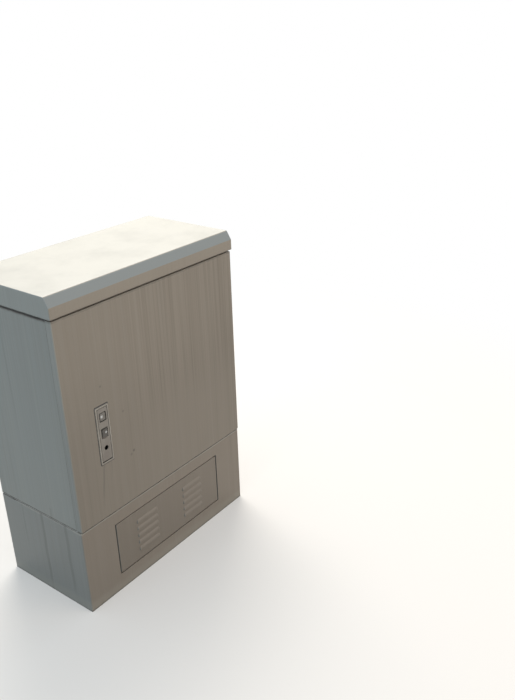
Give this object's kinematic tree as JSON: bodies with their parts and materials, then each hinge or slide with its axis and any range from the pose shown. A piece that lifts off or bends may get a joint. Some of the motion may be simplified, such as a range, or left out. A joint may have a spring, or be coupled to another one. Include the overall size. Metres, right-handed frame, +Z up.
{
  "type": "roadside utility cabinet",
  "caption": "Roadside fibre distribution cabinet of folded steel on a louvred base, with a flush-lock door, a chamfered roof cap, splice trays and cable clamps inside.",
  "frame": {"origin": "centre of the base's underside, at ground level", "axes": "+X to the right seen from the front, -Y out of the front, +Z up"},
  "size_m": [0.604, 0.318, 0.846],
  "materials": {
    "cabinet_paint": "powder-coated light grey, dusty",
    "galvanised_steel": "galvanised",
    "plated_steel": "zinc plated",
    "black_rubber": "matt",
    "lock_casting": "satin grey",
    "button_chrome": "bright",
    "brass": "plain",
    "dark_plastic": "matt",
    "tray_paint": "satin off-white",
    "adapter_plastic": "moulded blue",
    "pale_plastic": "moulded white"
  },
  "bodies": {
    "cabinet": {"base_frame": "cabinet_paint", "access_cover": "cabinet_paint", "cover_wing_screws": "plated_steel", "base_bolts": "plated_steel", "floor_plate": "galvanised_steel", "floor_grommets": "black_rubber", "body_wrap": "cabinet_paint", "door_frame": "galvanised_steel", "top_plate": "galvanised_steel", "roof_gasket": "black_rubber", "roof_bolts": "plated_steel", "roof_cap": "cabinet_paint", "hinge_lower_frame_leaf": "galvanised_steel", "hinge_middle_frame_leaf": "galvanised_steel", "hinge_upper_frame_leaf": "galvanised_steel", "hinge_pins": "plated_steel", "rod_keepers": "galvanised_steel", "equipment_rail_left": "galvanised_steel", "equipment_rail_right": "galvanised_steel", "splice_tray_1": "tray_paint", "splice_tray_2": "tray_paint", "splice_tray_3": "tray_paint", "splice_tray_4": "tray_paint", "splice_tray_5": "tray_paint", "splice_tray_6": "tray_paint", "fibre_adapters": "adapter_plastic", "spool_plate": "galvanised_steel", "fibre_spools": "pale_plastic", "clamp_bar": "galvanised_steel", "cable_clamps": "dark_plastic", "earth_posts": "dark_plastic", "earth_bar": "brass", "earth_bolts": "plated_steel"},
    "door": {"door_panel": "cabinet_paint", "door_gasket": "black_rubber", "door_stiffener_left": "galvanised_steel", "door_stiffener_right": "galvanised_steel", "document_pocket": "galvanised_steel", "hinge_lower_door_leaf": "galvanised_steel", "hinge_middle_door_leaf": "galvanised_steel", "hinge_upper_door_leaf": "galvanised_steel", "lock_frame": "lock_casting", "handle_pin": "plated_steel", "rod_guides": "dark_plastic"},
    "handle": {"lock_handle": "lock_casting", "lock_cylinder": "button_chrome", "dust_cover_rivet": "plated_steel"},
    "key_plug": {"lock_plug": "brass"},
    "button": {"push_button": "button_chrome"},
    "dust_flap": {"dust_cover": "dark_plastic"},
    "cam": {"latch_cam": "plated_steel"},
    "upper_rod": {"upper_lock_rod": "galvanised_steel"},
    "lower_rod": {"lower_lock_rod": "galvanised_steel"}
  },
  "joints": [
    {"name": "door_hinge", "type": "hinge", "parent": "cabinet", "child": "door", "pos_m": [0.294, -0.1505, 0.517], "axis": [0, 0, 1], "range_deg": [0, 105]},
    {"name": "handle_lift", "type": "hinge", "parent": "door", "child": "handle", "pos_m": [-0.195, -0.1507, 0.411], "axis": [1, 0, 0], "range_deg": [0, 40]},
    {"name": "button_press", "type": "slide", "parent": "door", "child": "button", "axis": [0, 1, 0], "range_m": [0, 0.0025], "stiffness_N_per_m": 800},
    {"name": "key_turn", "type": "hinge", "parent": "handle", "child": "key_plug", "pos_m": [-0.195, -0.1572, 0.466], "axis": [0, 1, 0], "range_deg": [0, 90]},
    {"name": "dust_cover_swing", "type": "hinge", "parent": "handle", "child": "dust_flap", "pos_m": [-0.195, -0.1579, 0.48], "axis": [0, -1, 0], "range_deg": [0, 100]},
    {"name": "latch_turn", "type": "hinge", "parent": "door", "child": "cam", "pos_m": [-0.195, -0.1305, 0.432], "axis": [0, -1, 0], "range_deg": [0, 90]},
    {"name": "upper_rod_slide", "type": "slide", "parent": "door", "child": "upper_rod", "axis": [0, 0, 1], "range_m": [0, 0.0198]},
    {"name": "lower_rod_slide", "type": "slide", "parent": "door", "child": "lower_rod", "axis": [0, 0, -1], "range_m": [0, 0.0198]}
  ],
  "couplings": [
    {"joint": "latch_turn", "follows": "upper_rod_slide", "rad_per_m": 79.337},
    {"joint": "lower_rod_slide", "follows": "upper_rod_slide", "ratio": 1}
  ]
}
